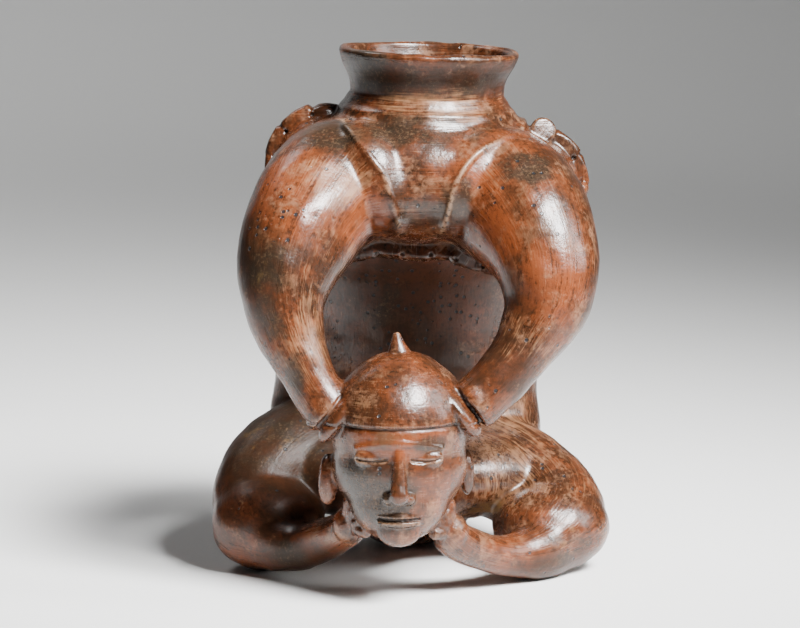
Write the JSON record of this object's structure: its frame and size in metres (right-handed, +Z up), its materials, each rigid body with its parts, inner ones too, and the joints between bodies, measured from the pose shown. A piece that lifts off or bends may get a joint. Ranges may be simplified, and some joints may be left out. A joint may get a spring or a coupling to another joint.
{
  "type": "acrobat effigy vessel",
  "caption": "Hollow fired-clay vessel shaped as an acrobat resting on chest and elbows, chin in hands, legs arched over the head with soles against it, and a flared spout rising from the hips.",
  "frame": {"origin": "on the surface that the vessel stands on, under the middle of its bounding box", "axes": "+Z up through the spout, the face and the soles towards -Y, the back of the trunk towards +Y, the figure seen from the front with +X to the right"},
  "size_m": [0.1812, 0.1858, 0.237],
  "materials": {
    "acrobat_vessel": "burnished red-brown slip, worn pale in streaks, with dark fire clouds and small black mineral spots"
  },
  "bodies": {
    "root": {"acrobat_vessel": "acrobat_vessel"}
  },
  "joints": []
}
